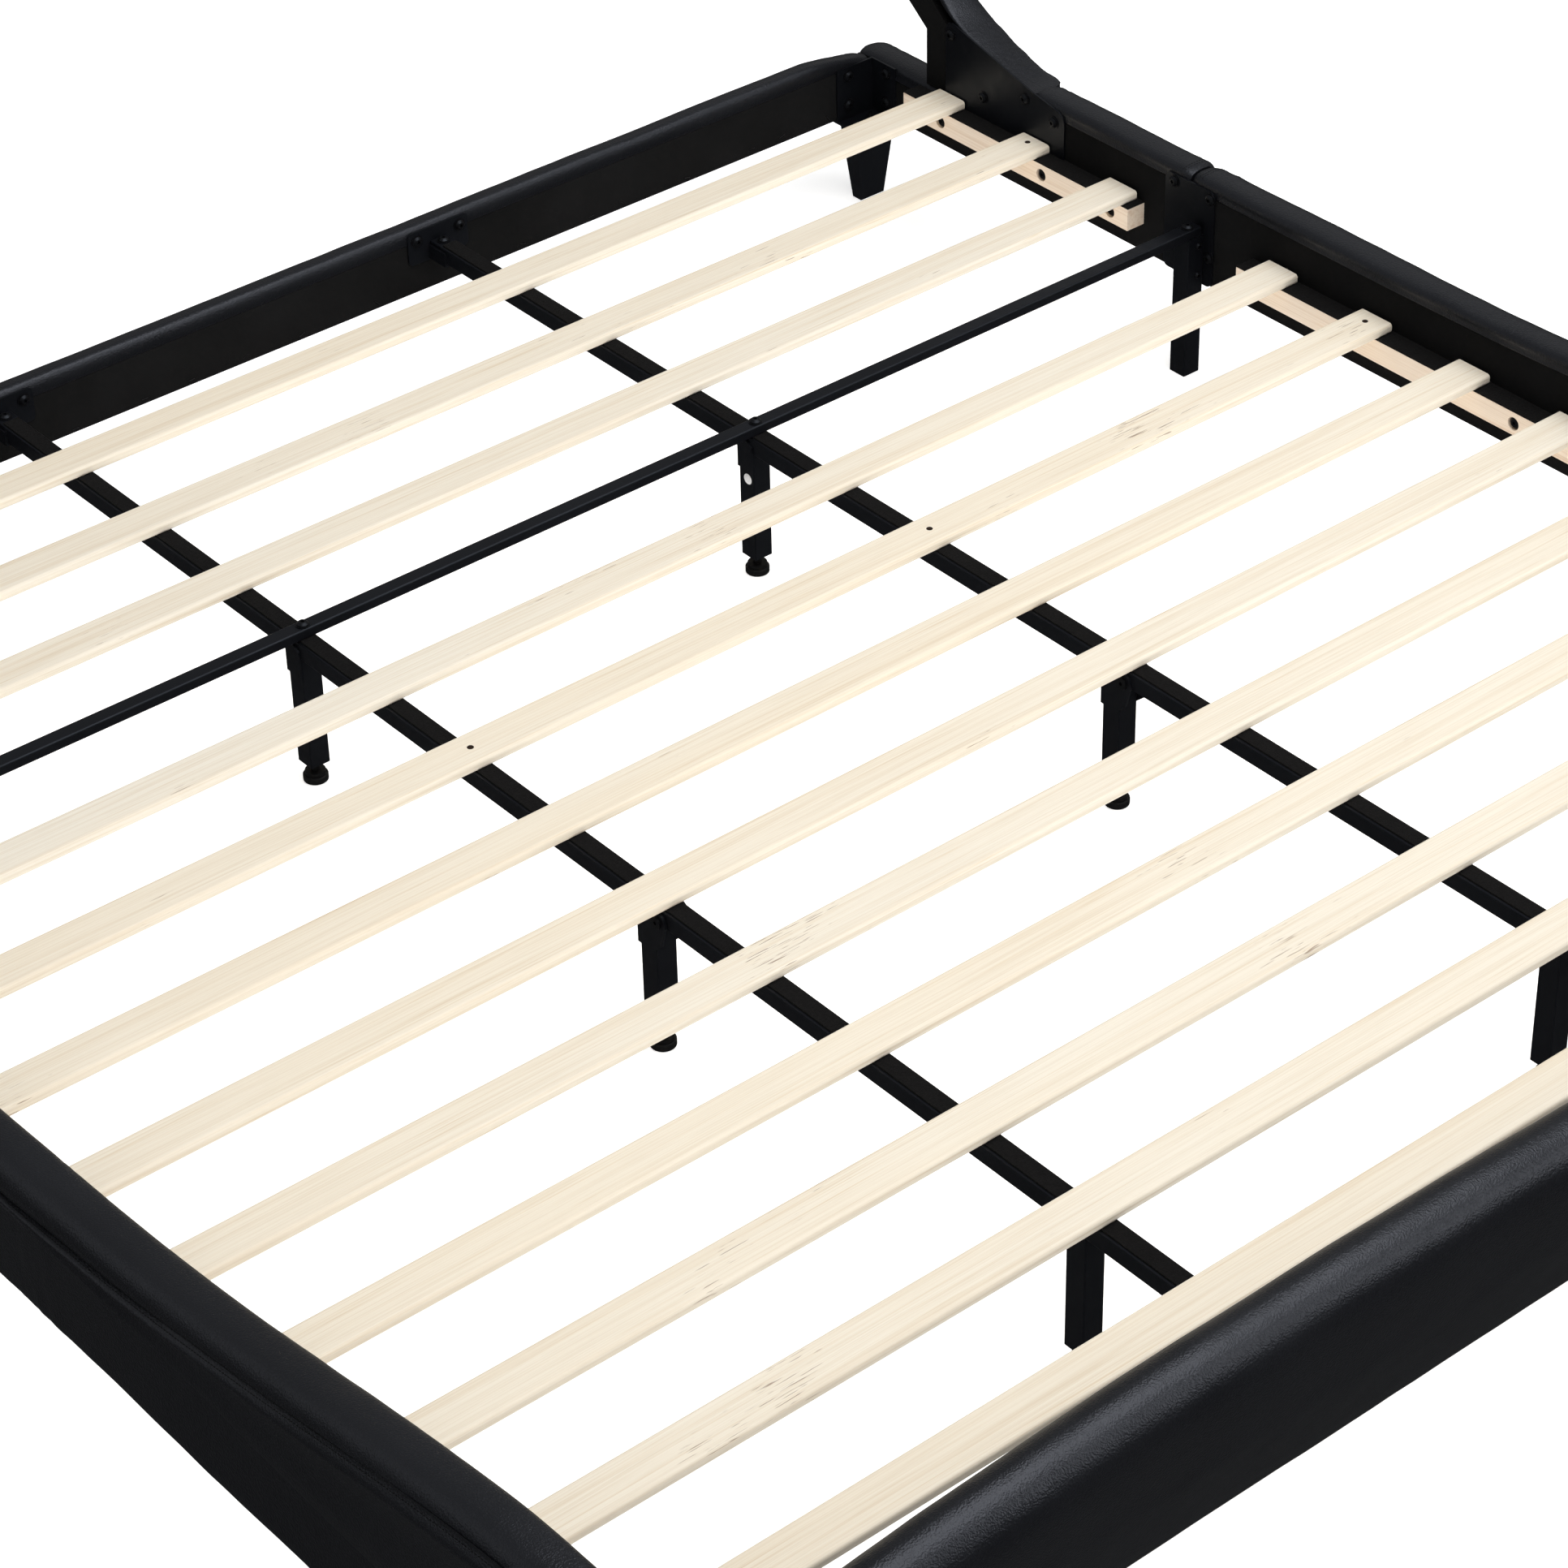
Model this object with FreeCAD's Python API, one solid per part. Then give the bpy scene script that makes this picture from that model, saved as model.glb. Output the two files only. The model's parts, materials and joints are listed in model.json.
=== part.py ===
"""Sleigh bed frame: padded rails, curled side wings, slatted base and steel under-frame.

Millimetres, +Z up.  X runs across the bed, +Y points to the head end.
The origin is on the floor, under the middle of the whole bed.
"""
import FreeCAD, Part
import math
import os

os.makedirs("parts", exist_ok=True)

V = FreeCAD.Vector

# heights above the floor
slat_top = 196.5
slat_thick = 12.0
slat_bottom = slat_top - slat_thick
felt_thick = 2.0
felt_base = slat_bottom - felt_thick
rail_bottom = 118.0
side_top = 252.0
low_top = 190.0
head_top = 206.0

# plan sizes
inner_half = 980.0
board_thick = 22.0
outer_half = 1028.0
pad_cap = 18.0
head_inner = 992.0
head_outer = 1025.0
foot_inner = -1027.5
rail_joint = 420.0
wing_start = 692.0
rail_gap = 1.0

# slats
slat_half = 975.5
slat_width = 49.0
slat_backs = [861.0, 707.0, 553.5, 285.0, 135.0, -15.0, -165.0, -315.0, -465.0, -615.0, -765.0, -915.0]

# steel under-frame
beam_x = 302.0
beam_w = 24.0
beam_h = 20.0
beam_bottom = felt_base - beam_h
cross_y = 400.0
cross_w = 18.0
plate = 2.5
leg_y = 25.0
leg_end = 24.0
head_leg_y = 403.0
mid_leg_y = -185.0
foot_leg_y = -784.0
pivot_y = -203.5
pivot_z = 168.0
pin_r = 4.0
stem_r = 5.0

# cleats
cleat_w = 27.0
cleat_h = 28.0
cleat_rear = (496.0, 901.0)
cleat_front = (-975.0, 313.0)


def box(x0, x1, y0, y1, z0, z1):
    """Axis-aligned box between two corners."""
    return Part.makeBox(x1 - x0, y1 - y0, z1 - z0, V(x0, y0, z0))


def cyl(r, h, p, d):
    """Cylinder of radius r and height h from point p along d."""
    return Part.makeCylinder(r, h, V(*p), V(*d))


def polygon_edges(pts):
    """Straight edges through a list of (y, z) points."""
    edges = []
    for a, b in zip(pts[:-1], pts[1:]):
        edges.append(Part.makeLine(V(0, a[0], a[1]), V(0, b[0], b[1])))
    return edges


def curve_edge(pts):
    """Smooth edge through a list of (y, z) points."""
    curve = Part.BSplineCurve()
    curve.interpolate([V(0, p[0], p[1]) for p in pts])
    return curve.toShape()


def slab(edges, x0, x1):
    """Closed side outline pulled across from x0 to x1."""
    face = Part.Face(Part.Wire(Part.__sortEdges__(edges)))
    solid = face.extrude(V(x1 - x0, 0, 0))
    solid.translate(V(x0, 0, 0))
    return solid


def mirror(shape):
    """Left-hand twin of a right-hand shape."""
    return shape.mirror(V(0, 0, 0), V(1, 0, 0))


def compound(shapes):
    """Several separate solids kept as one node."""
    return Part.makeCompound(shapes)


def save(name, shape):
    """Write one node."""
    shape.exportStep("parts/" + name + ".step")


def save_pair(name, shape):
    """Write the right-hand node and its left-hand twin."""
    save(name + "_right", shape)
    save(name + "_left", mirror(shape))


def board_and_pad(make_edges, shift_y, shift_z):
    """Wooden board and the padding over its outer face and narrow edge."""
    whole = slab(make_edges(), inner_half, outer_half)
    front = slab(make_edges(), inner_half, inner_half + board_thick)
    moved = slab(make_edges(), inner_half, inner_half + board_thick)
    moved.translate(V(0, shift_y, shift_z))
    board = front.common(moved)
    pad = whole.cut(board)
    return board, pad


def rear_rail_edges():
    """Rear side rail outline: full height, then stepped down under the wing."""
    y0 = rail_joint + rail_gap
    pts = [(y0, rail_bottom), (y0, side_top), (wing_start, side_top), (wing_start, low_top)]
    pts += [(head_outer, low_top), (head_outer, rail_bottom), (y0, rail_bottom)]
    return polygon_edges(pts)


def front_rail_edges():
    """Front side rail outline: its top sweeps up towards the foot end."""
    y0 = rail_joint - rail_gap
    top = [(y0, side_top), (250, side_top), (60, 252.5), (-123, 256), (-267, 264), (-421, 276)]
    top += [(-559, 296), (-732, 327), (-892, 350), (-976, 353), (-1030, 349), (-1060, 340)]
    end = [(-1060, 340), (-1065, 313), (-1048, 269), (-1026, 205), (-1026, rail_bottom)]
    end += [(y0, rail_bottom), (y0, side_top)]
    return [curve_edge(top)] + polygon_edges(end)


def wing_edges():
    """Side wing outline: rises from the rail, sweeps back and curls over."""
    y0 = wing_start + 0.5
    z0 = low_top + 0.5
    front = [(y0, side_top), (725, 254), (780, 272), (830, 294), (855, 314), (885, 345)]
    front += [(912, 385), (936, 430), (955, 480), (970, 535), (982, 595), (996, 655)]
    front += [(1014, 705), (1040, 745), (1075, 772), (1108, 782)]
    tip = [(1108, 782), (1124, 778), (1130, 766), (1126, 752)]
    rear = [(1126, 752), (1108, 734), (1092, 705), (1080, 670), (1070, 620), (1060, 560)]
    rear += [(1047, 500), (1030, 445), (1008, 395), (980, 350), (948, 315), (919.5, 291)]
    rear += [(888, 266)]
    foot = [(888, 266), (888, z0), (y0, z0), (y0, side_top)]
    return [curve_edge(front), curve_edge(tip), curve_edge(rear)] + polygon_edges(foot)


# padded side rails and wings
board, pad = board_and_pad(rear_rail_edges, 0, -pad_cap)
save_pair("rear_rail_board", board)
save_pair("rear_rail_pad", pad)
board, pad = board_and_pad(front_rail_edges, 0, -pad_cap)
save_pair("front_rail_board", board)
save_pair("front_rail_pad", pad)
board, pad = board_and_pad(wing_edges, 14, -14)
save_pair("wing_board", board)
save_pair("wing_pad", pad)

# head rail, low so that the mattress runs over it
head_end = inner_half - 2.0
head_board = box(-head_end, head_end, head_inner, head_inner + 20, 120, 185)
head_whole = box(-head_end, head_end, head_inner, head_outer, rail_bottom, head_top)
save("head_rail_board", head_board)
save("head_rail_pad", head_whole.cut(head_board))

# foot board leaning outwards under a fat padded roll
roll_y = -1100.0
roll_z = 316.0
roll_r = 30.0
inside = [(foot_inner, rail_bottom), (foot_inner, 205), (-1050, 270), (roll_y + roll_r, roll_z)]
outside = [(roll_y - roll_r, roll_z), (-1125, 275), (-1110, 220), (-1092, 165), (-1073, rail_bottom)]
arc = Part.Arc(
    V(0, roll_y + roll_r, roll_z),
    V(0, roll_y, roll_z + roll_r),
    V(0, roll_y - roll_r, roll_z),
).toShape()
foot_edges = polygon_edges(inside) + [arc, curve_edge(outside)]
foot_edges += polygon_edges([(-1073, rail_bottom), (foot_inner, rail_bottom)])
foot_whole = slab(foot_edges, -outer_half, outer_half)
core = [(foot_inner, 120), (foot_inner, 205), (-1050, 270), (-1066, 308), (-1086, 308)]
core += [(-1048, 205), (-1048, 120), (foot_inner, 120)]
foot_core = slab(polygon_edges(core), -outer_half + 5, outer_half - 5)
save("foot_board_panel", foot_core)
save("foot_board_pad", foot_whole.cut(foot_core))

# twelve slats with rounded long edges, two of them screwed down
slat_holes = {1: [-962.0, 962.0], 4: [-957.0, -beam_x, beam_x, 957.0]}
for i, back in enumerate(slat_backs):
    slat = box(-slat_half, slat_half, back - slat_width, back, slat_bottom, slat_top)
    long_edges = [e for e in slat.Edges if e.Length > 1000]
    slat = slat.makeFillet(4.0, long_edges)
    for x in slat_holes.get(i, []):
        slat = slat.cut(cyl(2.5, 20, (x, back - slat_width / 2, slat_bottom - 4), (0, 0, 1)))
    save("slat_%02d" % (i + 1), slat)

# cleats with counterbored fixing bolts, and the felt laid on them
cleat_z0 = felt_base - cleat_h
cleat_in = inner_half - cleat_w
bore_z = cleat_z0 + cleat_h / 2
pocket = 4.6
rear_bolts = [527.0, 648.0, 832.0]
front_bolts = [-945.0, -672.0, -397.0, -122.0]


def cleat(y0, y1, bolts):
    """One cleat with its bolt pockets on the inner face."""
    bar = box(cleat_in, inner_half, y0, y1, cleat_z0, felt_base)
    for y in bolts:
        bar = bar.cut(cyl(8.0, pocket, (cleat_in, y, bore_z), (1, 0, 0)))
    return bar


def hex_prism(across, depth, top):
    """Hexagon socket cut down from height top."""
    r = across / math.sqrt(3)
    pts = []
    for k in range(7):
        a = math.radians(60 * k)
        pts.append(V(r * math.cos(a), r * math.sin(a), top - depth))
    return Part.Face(Part.makePolygon(pts)).extrude(V(0, 0, depth + 1))


def dome_bolt(p, d, r=6.5, h=3.4, washer=True):
    """Dome-head socket bolt on a washer, standing on a face at p along d."""
    base = 0.0
    shape = None
    if washer:
        shape = Part.makeCylinder(r + 1.5, 1.0)
        base = 1.0
    rim = Part.makeCylinder(r, 1.2, V(0, 0, base))
    dome = Part.makeCone(r, r * 0.62, h - 1.2, V(0, 0, base + 1.2))
    head = rim.fuse(dome).cut(hex_prism(4.0, 2.4, base + h))
    if shape is None:
        shape = head
    else:
        shape = shape.fuse(head)
    shape = shape.removeSplitter()
    shape.Placement = FreeCAD.Placement(V(*p), FreeCAD.Rotation(V(0, 0, 1), V(*d)))
    return shape


save_pair("cleat_rear", cleat(cleat_rear[0], cleat_rear[1], rear_bolts))
save_pair("cleat_front", cleat(cleat_front[0], cleat_front[1], front_bolts))
felts = []
for y0, y1 in (cleat_rear, cleat_front):
    strip = box(cleat_in + 0.5, inner_half, y0 + 0.5, y1 - 0.5, felt_base, slat_bottom)
    felts += [strip, mirror(strip)]
save("cleat_felt_strips", compound(felts))
bolts = []
for y in rear_bolts + front_bolts:
    bolt = dome_bolt((cleat_in + pocket, y, bore_z), (-1, 0, 0), 7.3, 3.6, False)
    bolts += [bolt, mirror(bolt)]
# screws sunk in the holed slats
for i, xs in slat_holes.items():
    for x in xs:
        bolts.append(cyl(2.3, 8.0, (x, slat_backs[i] - slat_width / 2, slat_bottom), (0, 0, 1)))
save("cleat_bolts", compound(bolts))

# long beams, their felt strips and the crossbar
beam_y0 = foot_inner + plate + 0.5
beam_y1 = head_inner - plate - 0.5
beam = box(beam_x - beam_w / 2, beam_x + beam_w / 2, beam_y0, beam_y1, beam_bottom, felt_base)
beam = beam.makeFillet(1.5, [e for e in beam.Edges if e.Length > 1000])
beam = beam.cut(cyl(pin_r, 60, (beam_x - 30, pivot_y, pivot_z), (1, 0, 0)))
save_pair("beam", beam)
strip = box(beam_x - 9.5, beam_x + 9.5, beam_y0 + 22, beam_y1 - 22, felt_base, slat_bottom)
save("beam_felt_strips", compound([strip, mirror(strip)]))
cross = box(-972, 972, cross_y - cross_w / 2, cross_y + cross_w / 2, slat_bottom, slat_top)
cross = cross.makeFillet(2.0, [e for e in cross.Edges if e.Length > 1000])
save("crossbar", cross)
bolts = []
for x in (beam_x, 958.0):
    bolt = dome_bolt((x, cross_y, slat_top), (0, 0, 1))
    bolts += [bolt, mirror(bolt)]
save("crossbar_bolts", compound(bolts))


def leg_bar(y, top, half):
    """Square leg with a socket for the levelling foot's stem."""
    bar = box(beam_x - half, beam_x + half, y - leg_y / 2, y + leg_y / 2, leg_end, top)
    bar = bar.makeFillet(1.5, [e for e in bar.Edges if abs(e.Length - (top - leg_end)) < 0.01])
    return bar.cut(cyl(stem_r + 0.05, 52, (beam_x, y, leg_end - 1), (0, 0, 1)))


def levelling_foot(y):
    """Round foot disc, stepped collar and stem."""
    disc = Part.makeCylinder(13.6, 8.0, V(beam_x, y, 0))
    disc = disc.makeFillet(1.2, [e for e in disc.Edges if len(e.Vertexes) == 1])
    collar = Part.makeCylinder(11.0, 5.0, V(beam_x, y, 7.5))
    stem = Part.makeCylinder(stem_r, 47.0, V(beam_x, y, 12))
    return disc.fuse(collar).fuse(stem).removeSplitter()


def side_tab(x0, x1, y):
    """Chamfered plate joining a head leg to its beam."""
    pts = [(y - 12, 140), (y + 12, 140), (y + 12, 184), (y + 4, 184), (y - 12, 172), (y - 12, 140)]
    return slab(polygon_edges(pts), x0, x1)


half = beam_w / 2
leg = leg_bar(head_leg_y, beam_bottom, half)
leg = leg.fuse(side_tab(beam_x - half - plate, beam_x - half, head_leg_y))
leg = leg.fuse(side_tab(beam_x + half, beam_x + half + plate, head_leg_y))
save_pair("head_leg", leg)
save_pair("foot_leg", leg_bar(foot_leg_y, beam_bottom, half))

# middle legs fold up under the beams about a cross pin
run = 0.3
half = beam_w / 2 + run
leg = leg_bar(mid_leg_y, beam_bottom - run, half)
for x0 in (beam_x - half - 3.0, beam_x + half):
    ear = cyl(12.0, 3.0, (x0, pivot_y, pivot_z), (1, 0, 0))
    top = beam_bottom - run
    y1 = mid_leg_y + leg_y / 2
    web = [(pivot_y - 12, pivot_z), (pivot_y - 5, 140), (mid_leg_y - 10, 128), (y1, 128)]
    web += [(y1, top), (y1 - 5, top + 6), (pivot_y, pivot_z + 12), (pivot_y - 12, pivot_z)]
    ear = ear.fuse(slab(polygon_edges(web), x0, x0 + 3.0))
    ear = ear.cut(cyl(pin_r + 0.05, 9, (x0 - 3, pivot_y, pivot_z), (1, 0, 0)))
    leg = leg.fuse(ear)
save_pair("mid_leg", leg.removeSplitter())
out = half + 3.0 + 0.3
pin = cyl(pin_r, 2 * out + 4.8, (beam_x - out - 2.4, pivot_y, pivot_z), (1, 0, 0))
head_a = cyl(7.0, 2.4, (beam_x - out - 2.4, pivot_y, pivot_z), (1, 0, 0))
head_b = cyl(7.0, 2.4, (beam_x + out, pivot_y, pivot_z), (1, 0, 0))
pin = pin.fuse(head_a).fuse(head_b)
pin = pin.cut(cyl(2.2, 3.0, (beam_x - out - 2.4, pivot_y, pivot_z), (1, 0, 0)))
pin = pin.cut(cyl(2.2, 3.0, (beam_x + out - 0.6, pivot_y, pivot_z), (1, 0, 0)))
pin = pin.removeSplitter()
save("mid_leg_pins", compound([pin, mirror(pin)]))

for name, y in (("head", head_leg_y), ("mid", mid_leg_y), ("foot", foot_leg_y)):
    save_pair("levelling_foot_" + name, levelling_foot(y))

# side legs under the crossbar ends, with two small bolts on the foot-side face
side_x1 = inner_half - plate
side_x0 = side_x1 - 25.0
side_y0 = 391.5
side_leg = box(side_x0, side_x1, side_y0, side_y0 + 25, 0, slat_bottom)
side_leg = side_leg.makeFillet(1.5, [e for e in side_leg.Edges if abs(e.Length - slat_bottom) < 0.01])
save_pair("side_leg", side_leg)

# steel plates on the inner faces of the side rails
plate_x0 = inner_half - plate
joint = box(plate_x0, inner_half, 377, 459, rail_bottom - 1, 243)
joint = joint.makeFillet(9.0, [e for e in joint.Edges if abs(e.Length - plate) < 0.01])
save("joint_plates", compound([joint, mirror(joint)]))
gusset_pts = [(850, 185), (850, 284), (846, 290), (837, 292), (697, 255), (646, 245.5), (638, 241)]
gusset_pts += [(635, 233), (635, 185), (850, 185)]
gusset = slab(polygon_edges(gusset_pts), plate_x0, inner_half)
save("gusset_plates", compound([gusset, mirror(gusset)]))

# beam hangers: a plate on the end rail and a seat under the beam
hangers = []
for y_face, step in ((head_inner, -1), (foot_inner, 1)):
    y0 = min(y_face, y_face + step * plate)
    back = box(beam_x - 43.5, beam_x + 43.5, y0, y0 + plate, 158, 200.5)
    back = back.makeFillet(6.0, [e for e in back.Edges if abs(e.Length - plate) < 0.01])
    y2 = y_face + step * plate
    y3 = y2 + step * 32
    seat = box(beam_x - 14.5, beam_x + 14.5, min(y2, y3), max(y2, y3), 160, beam_bottom)
    hanger = back.fuse(seat)
    for side in (-1, 1):
        a = beam_x + side * 12.0
        b = beam_x + side * 14.5
        hanger = hanger.fuse(box(min(a, b), max(a, b), min(y2, y3), max(y2, y3), 160, 178))
    hanger = hanger.removeSplitter()
    hangers += [hanger, mirror(hanger)]
save("beam_hangers", compound(hangers))


def corner_bracket(y_face, step):
    """Three-sided bracket: end flange, side flange and the shelf that carries a leg."""
    x_in = inner_half - plate
    y1 = y_face
    y0 = y_face + step * plate
    y2 = y_face + step * 46
    end = box(920, x_in, min(y0, y1), max(y0, y1), rail_bottom, 189)
    side = box(x_in, inner_half, min(y1, y2), max(y1, y2), rail_bottom, 189)
    y3 = y_face - step * 38
    shelf = box(920, 1018, min(y2, y3), max(y2, y3), rail_bottom - plate, rail_bottom)
    shelf = shelf.makeFillet(10.0, [e for e in shelf.Edges if abs(e.Length - plate) < 0.01])
    return end.fuse(side).fuse(shelf).removeSplitter()


def corner_leg(y_face, step):
    """Tapered corner leg standing under the bracket's shelf."""
    top_z = rail_bottom - plate
    low = [(950, y_face + step * 11), (988, y_face + step * 11)]
    low += [(988, y_face - step * 5), (950, y_face - step * 5)]
    high = [(936, y_face + step * 20), (1002, y_face + step * 20)]
    high += [(1002, y_face - step * 14), (936, y_face - step * 14)]
    wires = []
    for pts, z in ((low, 0.0), (high, top_z)):
        ring = [V(p[0], p[1], z) for p in pts]
        wires.append(Part.makePolygon(ring + [ring[0]]))
    return Part.makeLoft(wires, True, True)


brackets = []
legs = []
for y_face, step in ((head_inner, -1), (foot_inner, 1)):
    for item, group in ((corner_bracket(y_face, step), brackets), (corner_leg(y_face, step), legs)):
        group.append(item)
        group.append(mirror(item))
save("corner_brackets", compound(brackets))
save("corner_legs", compound(legs))

# bolts through every steel plate
bolts = []
for y, z in ((840, 276), (780, 214), (705, 241), (653.5, 229)):
    bolts.append(dome_bolt((plate_x0, y, z), (-1, 0, 0)))
for y, z in ((444, 234), (383.5, 233), (382.5, 156), (444, 156)):
    bolts.append(dome_bolt((plate_x0, y, z), (-1, 0, 0)))
for z in (172, 133):
    bolts.append(dome_bolt((968, side_y0, z), (0, -1, 0), 4.5, 3.0, False))
for y_face, step in ((head_inner, -1), (foot_inner, 1)):
    y = y_face + step * plate
    for z in (177, 137):
        bolts.append(dome_bolt((938, y, z), (0, step, 0)))
        bolts.append(dome_bolt((plate_x0, y_face + step * 30, z), (-1, 0, 0)))
    for x in (beam_x - 31, beam_x + 31):
        bolts.append(dome_bolt((x, y, 188), (0, step, 0)))
    bolts.append(dome_bolt((beam_x, y_face + step * 13, felt_base), (0, 0, 1)))
    bolts.append(dome_bolt((958, y_face + step * 22, rail_bottom), (0, 0, 1), 4.0, 9.0, False))
bolts += [mirror(b) for b in bolts]
save("plate_bolts", compound(bolts))
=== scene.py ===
import bpy
import bmesh
import json
import math
from mathutils import Matrix, Vector, noise
from mathutils.bvhtree import BVHTree


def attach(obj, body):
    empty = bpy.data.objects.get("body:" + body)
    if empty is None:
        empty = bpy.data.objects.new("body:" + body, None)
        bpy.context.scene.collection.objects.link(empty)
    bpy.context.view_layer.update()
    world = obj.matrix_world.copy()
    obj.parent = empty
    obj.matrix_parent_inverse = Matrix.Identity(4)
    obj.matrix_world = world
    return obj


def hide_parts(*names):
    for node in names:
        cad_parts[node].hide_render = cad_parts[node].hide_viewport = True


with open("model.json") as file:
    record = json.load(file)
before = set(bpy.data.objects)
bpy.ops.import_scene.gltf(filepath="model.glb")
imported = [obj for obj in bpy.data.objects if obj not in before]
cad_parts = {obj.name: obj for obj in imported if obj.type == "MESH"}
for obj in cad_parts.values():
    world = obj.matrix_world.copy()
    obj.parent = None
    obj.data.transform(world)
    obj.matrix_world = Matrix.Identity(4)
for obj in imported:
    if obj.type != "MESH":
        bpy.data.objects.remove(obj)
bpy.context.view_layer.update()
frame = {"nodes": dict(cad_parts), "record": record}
nodes = frame["nodes"]

# ---------------------------------------------------------------- camera
az = math.radians(39.004)
el = math.radians(35.865)
roll = math.radians(-1.339)
forward = Vector((math.sin(az) * math.cos(el), math.cos(az) * math.cos(el), -math.sin(el)))
right = Vector((math.cos(az), -math.sin(az), 0.0))
up = right.cross(forward)
cam_right = right * math.cos(roll) + up * math.sin(roll)
cam_up = up * math.cos(roll) - right * math.sin(roll)
cam_data = bpy.data.cameras.new("camera")
cam_data.sensor_width = 36.0
cam_data.lens = 36.0 * 5587.7 / 1932.0
cam_data.clip_end = 100.0
cam = bpy.data.objects.new("camera", cam_data)
bpy.context.scene.collection.objects.link(cam)
axes = Matrix((cam_right, cam_up, -forward)).transposed()
cam.matrix_world = Matrix.Translation((-2.3657, -2.9290, 2.7893)) @ axes.to_4x4()
bpy.context.scene.camera = cam
bpy.context.scene.view_settings.view_transform = "Standard"

# ---------------------------------------------------------------- node helpers


def new_material(name):
    """Empty principled material: returns material, node tree, shader."""
    m = bpy.data.materials.new(name)
    m.use_nodes = True
    tree = m.node_tree
    return m, tree, tree.nodes["Principled BSDF"]


def add(tree, kind, **values):
    """New node with its properties and input defaults set."""
    node = tree.nodes.new(kind)
    for key, value in values.items():
        if key in node.inputs:
            node.inputs[key].default_value = value
        else:
            setattr(node, key, value)
    return node


def link(tree, a, a_name, b, b_name):
    tree.links.new(a.outputs[a_name], b.inputs[b_name])


def coords(tree, scale=(1, 1, 1)):
    """Object coordinates, scaled."""
    tc = add(tree, "ShaderNodeTexCoord")
    mp = add(tree, "ShaderNodeMapping")
    mp.inputs["Scale"].default_value = scale
    link(tree, tc, "Object", mp, "Vector")
    return mp


def noise_tex(tree, mp, scale, detail=4.0, rough=0.5):
    n = add(tree, "ShaderNodeTexNoise")
    n.inputs["Scale"].default_value = scale
    n.inputs["Detail"].default_value = detail
    n.inputs["Roughness"].default_value = rough
    link(tree, mp, "Vector", n, "Vector")
    return n


def ramp(tree, src, out, stops):
    """Colour ramp over stops of (position, colour)."""
    r = add(tree, "ShaderNodeValToRGB")
    cr = r.color_ramp
    while len(cr.elements) < len(stops):
        cr.elements.new(0.5)
    for e, (p, c) in zip(cr.elements, stops):
        e.position = p
        e.color = (c[0], c[1], c[2], 1.0)
    link(tree, src, out, r, "Fac")
    return r


def map_range(tree, src, out, a, b, c, d):
    m = add(tree, "ShaderNodeMapRange")
    for key, value in (("From Min", a), ("From Max", b), ("To Min", c), ("To Max", d)):
        m.inputs[key].default_value = value
    link(tree, src, out, m, "Value")
    return m


def bump(tree, src, out, strength, distance, before=None):
    b = add(tree, "ShaderNodeBump")
    b.inputs["Strength"].default_value = strength
    b.inputs["Distance"].default_value = distance
    link(tree, src, out, b, "Height")
    if before is not None:
        link(tree, before, "Normal", b, "Normal")
    return b


def grey(v):
    return (v, v, v)


# ---------------------------------------------------------------- materials


def leather(name, dark, light, rough=0.42):
    m, t, s = new_material(name)
    mp = coords(t)
    broad = noise_tex(t, mp, 7.0, 3.0)
    col = ramp(t, broad, "Fac", [(0.3, dark), (0.75, light)])
    link(t, col, "Color", s, "Base Color")
    r = map_range(t, broad, "Fac", 0.2, 0.8, rough - 0.05, rough + 0.09)
    link(t, r, "Result", s, "Roughness")
    pebble = add(t, "ShaderNodeTexVoronoi", feature="F1")
    pebble.inputs["Scale"].default_value = 520.0
    warp = noise_tex(t, mp, 160.0, 2.0)
    mix = add(t, "ShaderNodeMixRGB", blend_type="LINEAR_LIGHT")
    mix.inputs["Fac"].default_value = 0.003
    link(t, mp, "Vector", mix, "Color1")
    link(t, warp, "Color", mix, "Color2")
    link(t, mix, "Color", pebble, "Vector")
    crease = noise_tex(t, coords(t, (1, 1, 1)), 46.0, 5.0, 0.6)
    b1 = bump(t, crease, "Fac", 0.05, 0.003)
    b2 = bump(t, pebble, "Distance", 0.35, 0.0009, b1)
    link(t, b2, "Normal", s, "Normal")
    s.inputs["Specular IOR Level"].default_value = 0.40
    s.inputs["Specular Tint"].default_value = (0.84, 0.88, 1.0, 1)
    return m


def powder(name, base, rough):
    m, t, s = new_material(name)
    mp = coords(t)
    broad = noise_tex(t, mp, 11.0, 4.0)
    c0 = tuple(v * 0.85 for v in base)
    c1 = tuple(v * 1.2 for v in base)
    col = ramp(t, broad, "Fac", [(0.3, c0), (0.7, c1)])
    link(t, col, "Color", s, "Base Color")
    fine = noise_tex(t, mp, 900.0, 2.0)
    r = map_range(t, noise_tex(t, mp, 60.0, 4.0), "Fac", 0.3, 0.7, rough - 0.05, rough + 0.08)
    link(t, r, "Result", s, "Roughness")
    b = bump(t, fine, "Fac", 0.18, 0.0006)
    link(t, b, "Normal", s, "Normal")
    s.inputs["Specular IOR Level"].default_value = 0.22
    s.inputs["Specular Tint"].default_value = (0.76, 0.85, 1.0, 1)
    return m


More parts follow.
